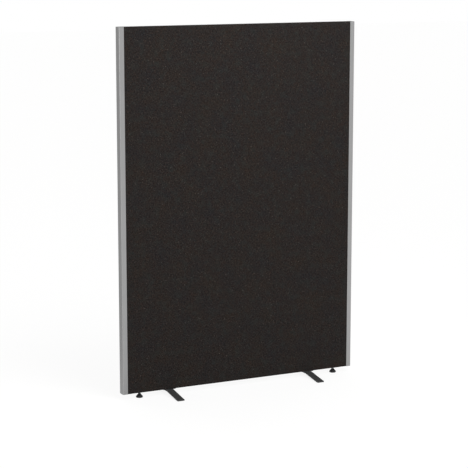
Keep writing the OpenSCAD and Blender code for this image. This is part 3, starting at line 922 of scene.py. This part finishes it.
def hex_bolt(x, columns=48):
    """Rings of a bolt from the face of its head upwards. A head ring's radius is the hexagon's, flats / 2 /
    cos(angle to the nearest flat), or the cone's where that is less. The threaded shank follows."""
    low, high = box_mm("right_foot_bolts")
    angle = np.arange(columns) * 2 * np.pi / columns
    hexagon = HEAD_FLATS / 2 / np.cos(np.mod(angle, np.pi / 3) - np.pi / 6)
    radius = np.minimum(hexagon, HEAD_RINGS[:, :1])
    head = around((x, 0), radius, angle, low[2] + HEAD_RINGS[:, 1:])
    shank_from = low[2] + HEAD_RINGS[-1, 1]
    shank = threaded_rod((x, 0), BOLT_R, BOLT_THREAD, shank_from, high[2], shank_from + BARE_SHANK, columns)
    return np.concatenate([head, shank])


for name, side in SIDES:
    bolts = join([tube(hex_bolt(x)) for x in bolt_x[name]])
    piece(f"{name}_hex_bolts", bolts, zinc, "screen", [f"{name}_foot_bolts"])

# %% [markdown]
# Along the top edge the two covers meet in a seam that is closed by hand with a
# curved needle: a short stitch of dark polyester thread every few millimetres.
# There are almost two hundred, so one small tube is bent over the seam and
# repeated at every place.

# %% Seam stitches
STITCH_PITCH = 6.0
STITCH_HALF = 1.7
STITCH_R = 0.3
STITCH_RISE = 0.35
STITCH_SLANT = 0.25
STITCH_BLUNT = 0.05
SEAM_END = 4.0
TWIST_MM = 0.4

thread = grained("polyester_sewing_thread", ("#1c1a19", "#35312f"), TWIST_MM, [TWIST_MM] * 3,
                 gloss=(0.6, 0.6), relief=(0.0, 0.1), surface={"Specular IOR Level": 0.3})

rows, columns = 5, 6
t = np.linspace(-1, 1, rows)[:, None]
turn = (np.arange(columns) * 2 * np.pi / columns)[None, :]
girth = STITCH_R * np.sqrt(1 + STITCH_BLUNT - t ** 2)
one_stitch = np.stack([-girth * np.cos(turn) + STITCH_SLANT * t, STITCH_HALF * t + 0 * turn,
                       STITCH_RISE * (1 - t ** 2) - STITCH_R + girth * np.sin(turn)], axis=-1)
seam_half = lip_x - SEAM_END
places = np.arange(-seam_half, seam_half, STITCH_PITCH)
stitches = join([tube(one_stitch + [x, 0, cover_high[2]]) for x in places])
piece("seam_stitches", stitches, thread, "screen")

# %% [markdown]
# The inner pieces don't show while the screen is whole, but each gets its own
# finish for when it is taken apart. Planed softwood is pale with long growth
# lines; the lines are distorted bands across the grain, stretched along the
# length of the piece, about 7 mm apart.

# %% Planed softwood
RING_MM = 7.0
DRAWN_OUT = 30


def softwood(name, long_axis):
    """Softwood whose grain runs along one axis: distorted bands, drawn out along that axis."""
    finish, tree = new_finish(name)
    place = add(tree, "TexCoord").outputs["Object"]
    scale = [1 / (RING_MM * MM)] * 3
    scale[long_axis] /= DRAWN_OUT
    stretched = add(tree, "Mapping", {"Vector": place, "Scale": scale})
    rings = add(tree, "TexNoise", {"Vector": stretched, "Scale": 1.0, "Detail": 3.0, "Distortion": 0.6})
    band = add(tree, "MapRange", {"Value": rings, "From Min": 0.35, "From Max": 0.65})
    fibre = add(tree, "TexNoise", {"Vector": stretched, "Scale": 9.0, "Detail": 2.0})
    wood = add(tree, "Mix", {0: band, 6: "#d9b988", 7: "#c2965f"}, data_type="RGBA")
    end_finish(tree, wood, {"Roughness": 0.62}, (fibre, 0.2, 0.1))
    return finish


rail_wood = softwood("planed_softwood_rails", 0)
stile_wood = softwood("planed_softwood_stiles", 2)
print("softwood: growth lines", RING_MM, "mm apart")

# %% [markdown]
# The cores are kraft paper honeycomb, expanded and glued between the boards.
# The model holds each as one block, so the cells are drawn on it. A hexagon
# pattern needs no picture: two rectangular lattices, the second moved by half a
# cell both ways, hold the middles of all hexagons. The nearer middle is kept,
# and the distance from it along the hexagon's normals reaches one half at the
# paper wall. Inside a cell the paper is painted darker towards the middle: a
# painted shade for the hollow of the cell.

# %% Kraft honeycomb
CELL_MM = 24.0
WALL_MM = 1.2
PULP_MM = 1.5
HEX = (0.5, math.sqrt(3) / 2, 0.5)

kraft, tree = new_finish("kraft_honeycomb_paper")
place = add(tree, "TexCoord").outputs["Object"]
at = add(tree, "SeparateXYZ", {0: place})
on_board = add(tree, "CombineXYZ", {"X": at.outputs["X"], "Y": at.outputs["Z"]})
cells = add(tree, "VectorMath", {0: on_board, "Scale": 1 / (CELL_MM * MM)}, operation="SCALE")
moved = add(tree, "VectorMath", {0: cells, 1: (HEX[0], HEX[1], 0)}, operation="ADD")
first, second = [add(tree, "VectorMath", {0: lattice, 1: HEX, 2: [-h for h in HEX]}, operation="WRAP")
                 for lattice in (cells, moved)]
far = [add(tree, "VectorMath", {0: cell}, operation="LENGTH") for cell in (first, second)]
use_second = add(tree, "Math", {0: far[1], 1: far[0]}, operation="LESS_THAN")
nearer = add(tree, "Mix", {0: use_second, 4: first, 5: second}, data_type="VECTOR")
reach = add(tree, "VectorMath", {0: nearer}, operation="ABSOLUTE")
sloping = add(tree, "VectorMath", {0: reach, 1: (HEX[0], HEX[1], 0)}, operation="DOT_PRODUCT")
level_reach = add(tree, "SeparateXYZ", {0: reach})
out_to = add(tree, "Math", {0: sloping, 1: level_reach.outputs["X"]}, operation="MAXIMUM")
wall = add(tree, "MapRange", {"Value": out_to, "From Min": 0.5 - WALL_MM / CELL_MM,
                              "From Max": 0.5 - WALL_MM / CELL_MM / 2})
# Painted shade: inside a cell the paper darkens towards the middle, as if the hollow were in shade.
cell_painted_shade = add(tree, "Mix", {0: out_to, 6: "#4d3d28", 7: "#b59a70"}, data_type="RGBA")
pulp = add(tree, "TexNoise", {"Vector": place, "Scale": 1 / (PULP_MM * MM), "Detail": 3.0})
paper = add(tree, "Mix", {0: pulp, 6: "#bfa67b", 7: "#dcc9a3"}, data_type="RGBA")
comb = add(tree, "Mix", {0: wall, 6: cell_painted_shade, 7: paper}, data_type="RGBA")
end_finish(tree, comb, {"Roughness": 0.85}, (wall, 0.6, 1.0))
print("honeycomb cells", CELL_MM, "mm across the flats")

# %% [markdown]
# Beech dowels, pressed hardboard and yellow passivated inserts each differ by
# their colour, the size of their grain and its contrast, so one function makes
# them from those values: two tones mixed by a grain and by clouds thirty times
# its size, and a small relief.

# %% Inner finishes
CLOUD_SPAN = 30


def plain_grain(name, dark, light, grain_mm, roughness, metallic=0.0, stretch=(1, 1, 1)):
    """Two tones mixed by the sum of a grain, of real size and stretched as given, and of wide clouds."""
    finish, tree = new_finish(name)
    place = add(tree, "TexCoord").outputs["Object"]
    scale = [1 / (grain_mm * MM * s) for s in stretch]
    sized = add(tree, "Mapping", {"Vector": place, "Scale": scale})
    grain = add(tree, "TexNoise", {"Vector": sized, "Scale": 1.0, "Detail": 3.0})
    clouds = add(tree, "TexNoise", {"Vector": sized, "Scale": 1 / CLOUD_SPAN, "Detail": 3.0})
    both = add(tree, "Math", {0: grain, 1: clouds}, operation="ADD")
    mixed = add(tree, "MapRange", {"Value": both, "From Min": 0.7, "From Max": 1.3})
    tone = add(tree, "Mix", {0: mixed, 6: dark, 7: light}, data_type="RGBA")
    end_finish(tree, tone, {"Roughness": roughness, "Metallic": metallic}, (grain, 0.15, 0.1))
    return finish


beech = plain_grain("turned_beech", "#cfa877", "#e6c99a", 0.8, 0.55, stretch=(12, 1, 1))
hardboard = plain_grain("pressed_hardboard", "#6a492d", "#886340", 1.4, 0.5)
passivated = plain_grain("yellow_passivated_zinc", "#9b8547", "#c9b878", 2.0, 0.35, metallic=1.0)

FINISHES = {
    "top_rail": rail_wood, "middle_rail": rail_wood, "bottom_rail": rail_wood,
    "left_stile": stile_wood, "right_stile": stile_wood, "frame_dowels": beech,
    "upper_core": kraft, "lower_core": kraft, "front_board": hardboard, "rear_board": hardboard,
    "cover_staples": zinc, "foot_inserts": passivated,
    "left_glide_insert": passivated, "right_glide_insert": passivated,
    "left_foot_plate": powder_coat, "right_foot_plate": powder_coat,
}
for name, finish in FINISHES.items():
    node_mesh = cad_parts[name].data
    node_mesh.materials.clear()
    node_mesh.materials.append(finish)
print("finished", len(FINISHES), "packed nodes")

# %% [markdown]
# Last come the colour settings, which leave colours as they are written, and the
# sizes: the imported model's box and the dressed one's, kept side by side so that
# any growth shows.

# %% Sizes and finish
bpy.context.scene.view_settings.view_transform = "Standard"
dressed_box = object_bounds()
grown = [1000 * (dressed_box[k][i] - cad_box[k][i]) for k in (0, 1) for i in range(3)]
print("dressed box differs by", [round(g, 2) for g in grown], "mm")
